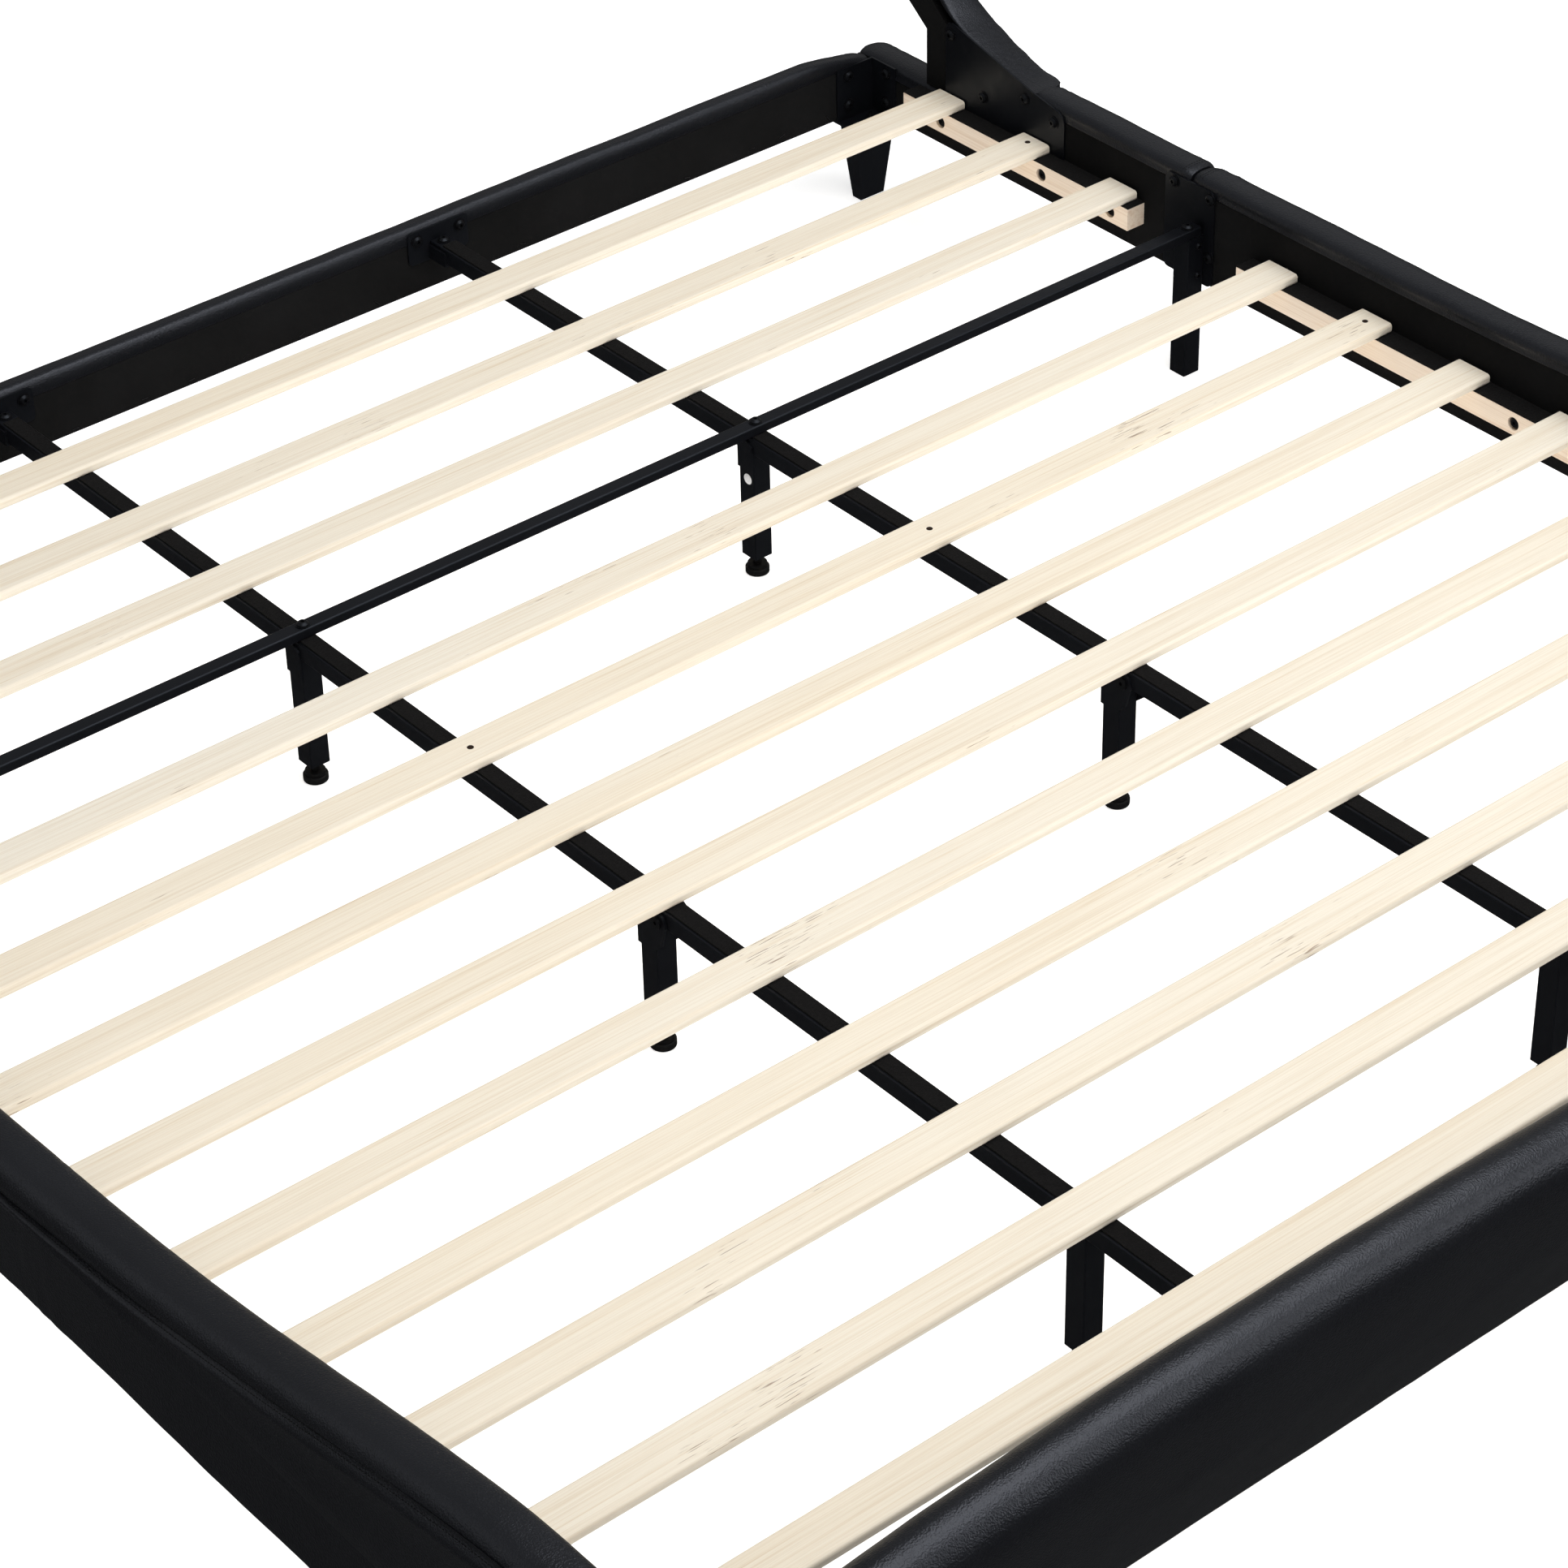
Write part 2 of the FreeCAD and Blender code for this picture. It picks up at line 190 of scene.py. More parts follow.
def cloth(name, dark, light, thread, strength, rough=0.9):
    """Woven lining: crossed threads with a soft nap."""
    m, t, s = new_material(name)
    mp = coords(t)
    broad = noise_tex(t, mp, 9.0, 5.0)
    col = ramp(t, broad, "Fac", [(0.3, dark), (0.75, light)])
    link(t, col, "Color", s, "Base Color")
    s.inputs["Roughness"].default_value = rough
    w1 = add(t, "ShaderNodeTexWave", bands_direction="Y")
    w1.inputs["Scale"].default_value = thread
    w1.inputs["Distortion"].default_value = 0.6
    w2 = add(t, "ShaderNodeTexWave", bands_direction="Z")
    w2.inputs["Scale"].default_value = thread
    w2.inputs["Distortion"].default_value = 0.6
    link(t, mp, "Vector", w1, "Vector")
    link(t, mp, "Vector", w2, "Vector")
    mul = add(t, "ShaderNodeMath", operation="MULTIPLY")
    t.links.new(w1.outputs["Fac"], mul.inputs[0])
    t.links.new(w2.outputs["Fac"], mul.inputs[1])
    b0 = bump(t, noise_tex(t, mp, 35.0, 5.0), "Fac", 0.3, 0.003)
    b = bump(t, mul, "Value", strength, 0.0006, b0)
    link(t, b, "Normal", s, "Normal")
    s.inputs["Sheen Weight"].default_value = 0.01
    s.inputs["Sheen Roughness"].default_value = 0.5
    s.inputs["Specular IOR Level"].default_value = 0.06
    return m


def felt(name, base):
    m, t, s = new_material(name)
    mp = coords(t)
    n = noise_tex(t, mp, 420.0, 6.0, 0.75)
    c1 = tuple(v * 2.0 for v in base)
    col = ramp(t, n, "Fac", [(0.35, base), (0.75, c1)])
    link(t, col, "Color", s, "Base Color")
    s.inputs["Roughness"].default_value = 0.95
    b = bump(t, n, "Fac", 0.8, 0.0016)
    link(t, b, "Normal", s, "Normal")
    s.inputs["Sheen Weight"].default_value = 0.02
    s.inputs["Specular IOR Level"].default_value = 0.05
    return m


def pine(name, pale, grain, along, rough=0.55):
    """Pale planed pine: growth lines, soft mottling, a few dark flecks."""
    m, t, s = new_material(name)
    lengthwise = (1.6, 130.0, 130.0) if along == "X" else (130.0, 1.6, 130.0)
    fine_scale = (7.0, 650.0, 650.0) if along == "X" else (650.0, 7.0, 650.0)
    lines = noise_tex(t, coords(t, lengthwise), 1.0, 6.0, 0.6)
    fine = noise_tex(t, coords(t, fine_scale), 1.0, 4.0, 0.6)
    mott = noise_tex(t, coords(t, (0.5, 6.0, 6.0)), 1.0, 3.0)
    base = ramp(t, lines, "Fac", [(0.33, grain), (0.5, pale), (0.62, pale), (0.72, grain)])
    f = ramp(t, fine, "Fac", [(0.38, (0.91, 0.88, 0.84)), (0.55, grey(1.0))])
    mul = add(t, "ShaderNodeMixRGB", blend_type="MULTIPLY")
    mul.inputs["Fac"].default_value = 0.7
    link(t, base, "Color", mul, "Color1")
    link(t, f, "Color", mul, "Color2")
    hair_scale = (0.9, 260.0, 260.0) if along == "X" else (260.0, 0.9, 260.0)
    hair = noise_tex(t, coords(t, hair_scale), 1.0, 2.0, 0.4)
    h = ramp(t, hair, "Fac", [(0.0, grey(1.0)), (0.485, grey(1.0)), (0.5, (0.88, 0.81, 0.71)),
                              (0.515, grey(1.0)), (1.0, grey(1.0))])
    hairs = add(t, "ShaderNodeMixRGB", blend_type="MULTIPLY")
    hairs.inputs["Fac"].default_value = 0.75
    link(t, mul, "Color", hairs, "Color1")
    link(t, h, "Color", hairs, "Color2")
    g = ramp(t, mott, "Fac", [(0.3, (1.0, 0.965, 0.91)), (0.7, (1.0, 1.0, 1.0))])
    mul2 = add(t, "ShaderNodeMixRGB", blend_type="MULTIPLY")
    mul2.inputs["Fac"].default_value = 1.0
    link(t, hairs, "Color", mul2, "Color1")
    link(t, g, "Color", mul2, "Color2")
    streak_scale = (26.0, 640.0, 640.0) if along == "X" else (640.0, 26.0, 640.0)
    streak = noise_tex(t, coords(t, streak_scale), 1.0, 2.0, 0.5)
    where = noise_tex(t, coords(t), 5.5, 1.0)
    prod = add(t, "ShaderNodeMath", operation="MULTIPLY")
    t.links.new(streak.outputs["Fac"], prod.inputs[0])
    t.links.new(where.outputs["Fac"], prod.inputs[1])
    mask = map_range(t, prod, "Value", 0.445, 0.475, 0.0, 0.8)
    mix = add(t, "ShaderNodeMixRGB")
    link(t, mask, "Result", mix, "Fac")
    link(t, mul2, "Color", mix, "Color1")
    mix.inputs["Color2"].default_value = (0.30, 0.19, 0.12, 1)
    link(t, mix, "Color", s, "Base Color")
    s.inputs["Roughness"].default_value = rough
    s.inputs["Specular IOR Level"].default_value = 0.35
    b = bump(t, fine, "Fac", 0.25, 0.0008)
    link(t, b, "Normal", s, "Normal")
    return m


def simple(name, color, rough, bump_scale, bump_strength, metallic=0.0):
    m, t, s = new_material(name)
    mp = coords(t)
    n = noise_tex(t, mp, bump_scale, 4.0)
    c0 = tuple(v * 0.8 for v in color)
    col = ramp(t, n, "Fac", [(0.3, c0), (0.7, color)])
    link(t, col, "Color", s, "Base Color")
    s.inputs["Roughness"].default_value = rough
    s.inputs["Metallic"].default_value = metallic
    s.inputs["Specular IOR Level"].default_value = 0.12
    b = bump(t, n, "Fac", bump_strength, 0.0006)
    link(t, b, "Normal", s, "Normal")
    return m


mat_leather = leather("leather", (0.0050, 0.0054, 0.0068), (0.0067, 0.0072, 0.0088), 0.33)
mat_lining = cloth("lining", grey(0.0045), (0.0075, 0.0075, 0.0078), 240.0, 0.35)
mat_steel = powder("steel", (0.0045, 0.0049, 0.0064), 0.36)
mat_bolt = powder("bolt", (0.004, 0.004, 0.0045), 0.35)
mat_felt = felt("felt", (0.0055, 0.0052, 0.0052))
mat_slat = pine("slat_pine", (0.93, 0.865, 0.745), (0.875, 0.785, 0.645), "X")
mat_cleat = pine("cleat_pine", (0.87, 0.745, 0.62), (0.76, 0.60, 0.46), "Y", 0.7)
mat_plastic = simple("foot_plastic", (0.007, 0.007, 0.0075), 0.5, 300.0, 0.2)
mat_thread = simple("thread", (0.007, 0.0072, 0.008), 0.6, 2000.0, 0.3)
mat_staple = simple("staple", (0.10, 0.10, 0.105), 0.5, 800.0, 0.1, 1.0)
mat_label = simple("label", (0.82, 0.82, 0.82), 0.6, 500.0, 0.05)
# screw-hole discs: their dark colour is painted shade of the countersunk holes' hollows
mat_hole_painted_shade = simple("screw_hole_painted_shade", (0.030, 0.018, 0.012), 0.8, 900.0, 0.3)

by_slot = {
    "leather_black": mat_leather,
    "lining_black": mat_lining,
    "pine_pale": mat_slat,
    "pine_bare": mat_cleat,
    "felt_grey": mat_felt,
    "steel_black": mat_steel,
    "bolt_black": mat_bolt,
    "foot_plastic": mat_plastic,
}
for part in frame["record"]["subparts"]:
    obj = nodes[part["node"]]
    for s in obj.material_slots:
        s.material = by_slot[part["material_slot"]]

# ---------------------------------------------------------------- mesh helpers

MM = 0.001
BEAM_X = 302


def lerp_table(table, y):
    """Smooth value at y from a table of (y, value), by Catmull-Rom."""
    pts = sorted(table)
    if y <= pts[0][0]:
        return pts[0][1]
    if y >= pts[-1][0]:
        return pts[-1][1]
    i = 0
    while pts[i + 1][0] < y:
        i += 1
    p1, p2 = pts[i], pts[i + 1]
    h = p2[0] - p1[0]
    m1 = (p2[1] - p1[1]) / h
    m2 = m1
    if i > 0:
        m1 = (p2[1] - pts[i - 1][1]) / (p2[0] - pts[i - 1][0])
    if i + 2 < len(pts):
        m2 = (pts[i + 2][1] - p1[1]) / (pts[i + 2][0] - p1[0])
    t = (y - p1[0]) / h
    a = 2 * t ** 3 - 3 * t ** 2 + 1
    b = t ** 3 - 2 * t ** 2 + t
    c = -2 * t ** 3 + 3 * t ** 2
    d = t ** 3 - t ** 2
    return a * p1[1] + b * h * m1 + c * p2[1] + d * h * m2


def resample(points, count):
    """Even points along a polyline of vectors."""
    lengths = [0.0]
    for a, b in zip(points[:-1], points[1:]):
        lengths.append(lengths[-1] + (b - a).length)
    out = []
    j = 0
    for k in range(count):
        want = lengths[-1] * k / (count - 1)
        while j < len(points) - 2 and lengths[j + 1] < want:
            j += 1
        seg = lengths[j + 1] - lengths[j]
        f = 0.0 if seg < 1e-9 else (want - lengths[j]) / seg
        out.append(points[j].lerp(points[j + 1], f))
    return out


def smooth_path(points, per=8):
    """Catmull-Rom line through 2-D points."""
    pts = [Vector(p) for p in points]
    out = []
    for i in range(len(pts) - 1):
        p0 = pts[max(i - 1, 0)]
        p1, p2 = pts[i], pts[i + 1]
        p3 = pts[min(i + 2, len(pts) - 1)]
        for k in range(per):
            t = k / per
            a = 0.5 * (2 * p1 + (p2 - p0) * t + (2 * p0 - 5 * p1 + 4 * p2 - p3) * t ** 2
                       + (3 * p1 - p0 - 3 * p2 + p3) * t ** 3)
            out.append(a)
    out.append(pts[-1])
    return out


def sweep(name, rings):
    """Capped tube mesh through rings of equal point counts, in millimetres."""
    n = len(rings[0])
    verts = []
    for ring in rings:
        for p in ring:
            verts.append((p[0] * MM, p[1] * MM, p[2] * MM))
    faces = []
    for i in range(len(rings) - 1):
        for j in range(n):
            k = (j + 1) % n
            faces.append((i * n + j, i * n + k, (i + 1) * n + k, (i + 1) * n + j))
    mesh = bpy.data.meshes.new(name)
    last = (len(rings) - 1) * n
    faces.append(tuple(range(n - 1, -1, -1)))
    faces.append(tuple(last + j for j in range(n)))
    mesh.from_pydata(verts, [], faces)
    bm = bmesh.new()
    bm.from_mesh(mesh)
    bmesh.ops.triangulate(bm, faces=[f for f in bm.faces if len(f.verts) > 4])
    bmesh.ops.recalc_face_normals(bm, faces=bm.faces)
    bm.to_mesh(mesh)
    bm.free()
    mesh.polygons.foreach_set("use_smooth", [True] * len(mesh.polygons))
    obj = bpy.data.objects.new(name, mesh)
    bpy.context.scene.collection.objects.link(obj)
    return obj


def object_of(name, bm):
    """New scene object that takes over a bmesh, which is freed."""
    mesh = bpy.data.meshes.new(name)
    bm.to_mesh(mesh)
    bm.free()
    obj = bpy.data.objects.new(name, mesh)
    bpy.context.scene.collection.objects.link(obj)
    return obj


def finish_piece(obj, material, body="frame", replaces=(), sharp=55):
    """Material, sharp edges by angle, body, and hiding of the parts it replaces."""
    obj.data.materials.clear()
    obj.data.materials.append(material)
    obj.data.set_sharp_from_angle(angle=math.radians(sharp))
    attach(obj, body)
    if replaces:
        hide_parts(*replaces)
    return obj


def lump(p, size, amount, seed):
    """Smooth noise at a point in millimetres."""
    q = Vector((p[0] / size + seed, p[1] / size + seed * 1.7, p[2] / size - seed))
    return amount * noise.noise(q)


# ---------------------------------------------------------------- padded side rails

SIDE_TOP = [(-1062, 339), (-1030, 349), (-976, 353), (-892, 350), (-732, 327), (-559, 296),
            (-421, 276), (-267, 264), (-123, 256), (60, 252.5), (250, 252), (419, 252)]
SEAM_DROP = [(-1060, 19), (-905, 18), (-760, 21), (-620, 23), (-496, 24), (-354, 27), (-196, 31),
             (0, 31), (419, 31)]
CREASE = [(-1060, 204), (-905, 206), (-754, 211), (-658, 216), (-534, 221), (-349, 223), (-196, 221),
          (0, 220), (419, 220)]


def rail_ring(y, top, seam, crease, inset):
    """Cross-section of a right-hand padded rail: up the inner lip, over the crown, down the outside."""
    i = inset
    band = max(seam - crease, 1.0)
    lip = 1.5 * clear_of_plates(y)
    ring = [(980.0, top - 17.6), (980.0 - lip, top - 16.6), (980.2 - lip, top - 14.2)]
    ring += [(980.3, top - 11.5), (979.6 + i, top - 8.5), (979.9 + i, top - 5.5 - i)]
    ring += [(981.4 + i, top - 2.6 - i), (984.2 + i, top - 0.6 - i), (988.5 + i, top + 0.6 - i)]
    ring += [(995, top + 1.3 - i), (1003, top + 1.6 - i), (1011, top + 1.1 - i)]
    ring += [(1018 - i, top - 1.2 - i), (1024 - i, top - 5 - i), (1028 - i, top - 11 - i)]
    ring += [(1030 - i, top - 16), (1029.8 - i, seam + 6), (1028.6 - i, seam + 2.4), (1026.4 - i, seam + 0.4)]
    # bead under the seam, then the band down to its overhang over the lower panel
    bead = min(band * 0.16, 13.0)
    rise = min(band / 12.0, 1.0)
    over = 9.0 * min(band / 40.0, 1.0)
    skin = 1029.8 - i
    ring += [(1026.6 - i, seam - 0.7), (1029.4 - i, seam - 0.2 * bead - 1.0)]
    ring.append((skin - 0.2 + 2.6 * rise, seam - 0.45 * bead - 1.2))
    ring.append((skin + 4.6 * rise, seam - 0.78 * bead - 1.4))
    ring.append((skin + 4.8 * rise, seam - bead - 1.6))
    ring.append((skin + 3.2 * rise, seam - 1.25 * bead - 1.8))
    ring.append((skin + 1.6 * rise, seam - band * 0.36 - 2.0))
    ring.append((skin + 2.2 * rise + 0.1 * over, seam - band * 0.56 - 1.5))
    ring.append((skin + 2.6 * rise + 0.25 * over, seam - band * 0.76 - 1.0))
    ring.append((skin + 3.0 * rise + 0.35 * over, crease + 0.3 * over))
    ring.append((skin + 2.4 * rise + 0.3 * over, crease + 0.3))
    # lower panel, hollow under the overhang
    panel = 1029.4 - i
    low = crease - 14
    ring += [(panel - 0.6 * over, crease - 1.6), (panel - over, crease - 3.6)]
    ring += [(panel - 1.1 * over, crease - 8), (panel - 1.15 * over, low)]
    for f in (0.12, 0.25, 0.4, 0.55, 0.7, 0.82, 0.92):
        ring.append((panel - 1.15 * over * (1 - f ** 1.5), low + (124 - low) * f))
    ring += [(1029.6 - i, 123), (1028.6 - i, 120), (1025.5 - i, 118.3), (1020, 118), (1010, 118)]
    ring += [(1002.3, 118), (1002.3, 150), (1002.3, top - 30), (1002.3, top - 17.6), (991, top - 17.6)]
    return ring


def clear_of_plates(y):
    """1 where the inner face is free, 0 behind the steel plates."""
    value = 1.0
    for a, b in ((377, 459), (635, 850)):
        d = max(a - y, y - b)
        value = min(value, max(0.0, min(1.0, d / 10.0)))
    return value


def mirror_obj(obj, name):
    """Left-hand copy of a right-hand piece."""
    mesh = obj.data.copy()
    mesh.transform(Matrix.Scale(-1, 4, (1, 0, 0)))
    mesh.flip_normals()
    twin = bpy.data.objects.new(name, mesh)
    bpy.context.scene.collection.objects.link(twin)
    return twin


def cover_pair(name, rings, pad):
    """Right-hand leather cover and its mirrored twin, in place of the plain pads."""
    right_cover = sweep(name + "_right", rings)
    left_cover = mirror_obj(right_cover, name + "_left")
    for cover, side in ((right_cover, "_right"), (left_cover, "_left")):
        finish_piece(cover, mat_leather, replaces=[pad + side])
    return right_cover, left_cover


def outer_part(x):
    """How far a point is out on the soft side, 0 inside to 1."""
    return max(0.0, min(1.0, (x - 1004.0) / 12.0))


def top_part(z, top):
    return max(0.0, min(1.0, (z - (top - 14.0)) / 8.0))


def front_rail_rings():
    rings = []
    steps = 300
    for k in range(steps + 1):
        f = k / steps
        y = 419.0 - 1.0 - f * (418.0 + 1046.0)
        top = lerp_table(SIDE_TOP, y)
        drop = lerp_table(SEAM_DROP, y)
        crease = lerp_table(CREASE, y)
        seam = top - drop
        crease = min(crease, seam - 1.5)
        near = min(418.0 - y, 14.0) / 14.0
        far = min(max(y + 1046.0, 0.0), 14.0) / 14.0
        inset = 3.2 * (1 - near) ** 2 + 2.5 * (1 - far) ** 2
        ring = []
        for x, z in rail_ring(y, top, seam, crease, inset):
            soft = max(outer_part(x), top_part(z, top))
            p = (x, y, z)
            d = lump(p, 110, 1.1, 3.0) + lump(p, 36, 0.4, 9.0)
            gather = max(0.0, 1 - abs(y - 418) / 70.0) + 0.5 * max(0.0, 1 - abs(y + 230) / 60.0)
            d += gather * (lump((x, y * 2.2, z), 26, 1.3, 5.0) + lump((x * 1.5, y * 5, z), 24, 0.7, 15.0))
            out = soft * d
            nx = out if x > 1015 else 0.0
            nz = out if z > top - 9 else 0.0
            slant = 0.0
            if y < -900:
                slant = (y + 900) / 146.0
            shift = slant * max(0.0, min(1.0, (z - 205) / 110.0)) * 17.0
            ring.append((x + nx, y + shift, z + nz))
        rings.append(ring)
    return rings


front_right, front_left = cover_pair("front_rail_cover", front_rail_rings(), "front_rail_pad")


def rear_rail_rings():
    rings = []
    stations = [422.0 + 268.5 * k / 60 for k in range(61)]
    stations += [692.0, 693.2, 695.0] + [697.0 + 327.0 * k / 60 for k in range(61)]
    for y in stations:
        high = y < 692.6
        top = 252.0 if high else 190.0
        seam = top - (31 if high else 20)
        crease = seam - 1.5
        near = min(y - 422.0, 14.0) / 14.0
        far = min(1024.0 - y, 16.0) / 16.0
        step = min(abs(y - 692.6), 12.0) / 12.0 if high else 1.0
        inset = 3.2 * (1 - near) ** 2 + 6.0 * (1 - far) ** 2 + 2.2 * (1 - step) ** 2
        ring = []
        for x, z in rail_ring(y, top, seam, crease, inset):
            soft = max(outer_part(x), top_part(z, top))
            p = (x, y, z)
            d = lump(p, 110, 1.0, 13.0) + lump(p, 36, 0.4, 7.0)
            gather = max(0.0, 1 - abs(y - 422) / 60.0) + max(0.0, 1 - abs(y - 690) / 50.0)
            gather += max(0.0, 1 - abs(y - 1024) / 80.0)
            d += gather * (lump((x, y * 2.2, z), 24, 1.0, 2.0) + lump((x * 1.5, y * 5, z), 24, 0.6, 12.0))
            out = soft * d
            nx = out if x > 1015 else 0.0
            nz = out if z > top - 9 else 0.0
            ring.append((x + nx, y, z + nz))
        rings.append(ring)
    return rings


rear_right, rear_left = cover_pair("rear_rail_cover", rear_rail_rings(), "rear_rail_pad")

# ---------------------------------------------------------------- padded side wings

WING_FRONT = [(692.5, 190.5), (692.5, 224), (692.5, 250), (725, 254), (780, 272), (830, 294), (855, 314),
              (885, 345), (912, 385), (936, 430), (955, 480), (970, 535), (982, 595), (996, 655),
              (1014, 705), (1040, 745), (1075, 772), (1108, 782)]
WING_REAR = [(888, 190.5), (888, 230), (888, 266), (919.5, 291), (948, 315), (980, 350), (1008, 395),
             (1030, 445), (1047, 500), (1060, 560), (1070, 620), (1080, 670), (1092, 705), (1108, 734),
             (1126, 752), (1130, 762)]


def wing_rings():
    count = 200
    f_low = [Vector(p) for p in WING_FRONT[:3]]
    f_all = f_low[:2] + smooth_path(WING_FRONT[2:], 14)
    r_all = [Vector(p) for p in WING_REAR[:2]] + smooth_path(WING_REAR[2:], 14)
    fronts = resample(f_all, count)
    rears = resample(r_all, count)
    rings = []
    for i in range(count):
        a, b = fronts[i], rears[i]
        across = b - a
        length = across.length
        n = across / length
        s = i / (count - 1)
        tip = max(0.0, (s - 0.95) / 0.05)
        base = max(0.0, 1 - s / 0.02)
        c = 3.0 * tip ** 2 + 1.5 * base ** 2
        prof = [(980.0, 13.6), (979.7, 8.0), (980.0 + c, 4.0 + c), (981.6 + c, 1.2 + c)]
        prof += [(985.5, -0.6 + c), (992, -1.8 + c), (1000, -2.4 + c), (1008, -2.4 + c), (1016, -1.6 + c)]
        prof += [(1022.5 - c, 0.2 + c), (1027 - c, 3.6 + c), (1029.2 - c, 8.5 + c), (1030.2 - c, 16 + c)]
        for f in (0.2, 0.3, 0.42, 0.55, 0.68, 0.8, 0.9):
            prof.append((1031.0 - c - 1.2 * abs(f - 0.5), 10 + (length - 12) * f))
        prof += [(1029.5 - c, length - 5 - c), (1027.5 - c, length - 1.5 - c), (1023 - c, length + 0.4 - c)]
        prof += [(1012, length + 0.8 - c), (1002.3, length + 0.3 - c), (1002.3, length * 0.6)]
        prof += [(1002.3, 20), (1002.3, 13.6), (991, 13.6)]
        ring = []
        for x, q in prof:
            p = a + n * q
            pt = (x, p.x, p.y)
            d = lump(pt, 70, 1.6, 21.0) + lump(pt, 24, 0.9, 4.0)
            gather = max(0.0, 1 - abs(s - 0.16) / 0.17)
            along = s * 900.0
            fan = x + 0.25 * along
            d += gather * (lump((fan * 2.2, along * 0.35, 0.0), 22, 3.4, 8.0)
                           + lump((fan * 0.5, along * 1.6, 5.0), 18, 1.3, 18.0))
            wave = (x * 0.55 + along * 0.42) / 3.4 + lump((x, along, 3.0), 40, 5.0, 1.0)
            d += 0.8 * gather * math.sin(wave)
            d += 1.8 * math.exp(-((s - 0.085) / 0.008) ** 2)
            soft_front = max(0.0, min(1.0, (10 - q) / 8.0)) * (1.0 if x > 981 else 0.0)
            soft_side = 1.0 if x > 1025 else 0.0
            p = p - n * (d * soft_front)
            ring.append((x + d * 0.6 * soft_side, p.x, p.y))
        rings.append(ring)
    return rings


cover_pair("wing_cover", wing_rings(), "wing_pad")

# ---------------------------------------------------------------- head rail


def head_rings():
    rings = []
    steps = 330
    for k in range(steps + 1):
        x = -976.5 + 1953.0 * k / steps
        end = min(976.5 - abs(x), 16.0) / 16.0
        c = 3.0 * (1 - end) ** 2
        swell = max(0.0, 1 - (976.5 - abs(x)) / 95.0)
        top = 206.0 - 15.0 * swell ** 1.3
        prof = [(992.0, 185.3), (991.0, 187.5), (991.2, top - 12), (992.2, top - 6 - c)]
        prof += [(994.0, top - 2.2 - c), (997 + c, top - 0.2 - c), (1002, top + 0.3 - c)]
        prof += [(1007, top - 0.2 - c), (1012, top - 1.4 - c), (1017 - c, top - 3.6 - c)]
        prof += [(1021 - c, top - 7.5), (1024 - c, top - 14), (1025.6 - c, top - 24)]
        prof += [(1026.6 - c, 165), (1027.0 - c, 150), (1026.6 - c, 136), (1025.6 - c, 125)]
        prof += [(1023 - c, 119.6), (1019, 118.2), (1016, 118), (1012.3, 118), (1012.3, 150), (1012.3, 184.8)]
        prof += [(1002, 185.2)]
        ring = []
        for y, z in prof:
            p = (x, y, z)
            d = lump(p, 120, 1.0, 31.0) + lump(p, 34, 0.4, 6.0)
            d += swell * (lump((x * 1.6, y, z), 30, 1.6, 3.0) + lump((x * 0.4, y * 3.0, z), 12, 1.2, 9.0))
            up_soft = max(0.0, min(1.0, (z - (top - 9)) / 6.0))
            out_soft = 1.0 if y > 1022 and z < top - 16 else 0.0
            ring.append((x, y + d * 0.7 * out_soft, z + d * up_soft))
        rings.append(ring)
    return rings


head = sweep("head_rail_cover", head_rings())
finish_piece(head, mat_leather, replaces=["head_rail_pad"])

# ---------------------------------------------------------------- foot board roll

FOOT_OUT = [(-1027.6, 118.2), (-1028.2, 119.6), (-1027.6, 150), (-1027.6, 180), (-1027.9, 205), (-1034, 224),
            (-1044, 254), (-1053, 279), (-1062, 300), (-1068.5, 314), (-1070.5, 324), (-1075, 334),
            (-1083, 342), (-1092, 346.5), (-1101, 347.6), (-1111, 345.4), (-1120, 340), (-1127, 331),
            (-1130.6, 320), (-1131, 308), (-1129, 292), (-1124.5, 272), (-1118, 248), (-1110.5, 220),
            (-1102, 193), (-1093.5, 168), (-1086, 146), (-1079, 128), (-1076, 121.5), (-1072, 118.4),
            (-1060, 118), (-1045, 118)]


CROWN = [(0, 2), (100, 5), (270, 9), (440, 8), (616, 3), (775, -8), (880, -17), (960, -24), (1028, -28)]


def foot_rings():
    profile = [Vector(p) for p in FOOT_OUT]
    loop = resample(profile + [profile[0]], 97)[:-1]
    rings = []
    steps = 360
    centre = Vector((-1080.0, 240.0))
    for k in range(steps + 1):
        x = -1028.0 + 2056.0 * k / steps
        e = (1028.0 - abs(x)) / 24.0
        if e < 1.0:
            shrink = 7.0 * (1 - math.sqrt(max(0.0, 1 - (1 - e) ** 2)))
        else:
            shrink = 0.0
        ring = []
        for p in loop:
            v = p - centre
            n = v.normalized()
            q = p - n * shrink
            soft = 1.0 if (p.y > 300 or p.x < -1072) else 0.0
            d = lump((x, p.x, p.y), 120, 1.6, 41.0) + lump((x, p.x, p.y), 40, 0.6, 12.0)
            q = q + n * d * soft
            high = max(0.0, min(1.0, (p.y - 215) / 90.0))
            high = high * high * (3 - 2 * high)
            drop = lerp_table(CROWN, abs(x)) * high
            ring.append((x, q.x, q.y + drop))
        rings.append(ring)
    return rings


foot = sweep("foot_board_cover", foot_rings())
finish_piece(foot, mat_leather, replaces=["foot_board_pad", "foot_board_panel"])

# ---------------------------------------------------------------- stitching


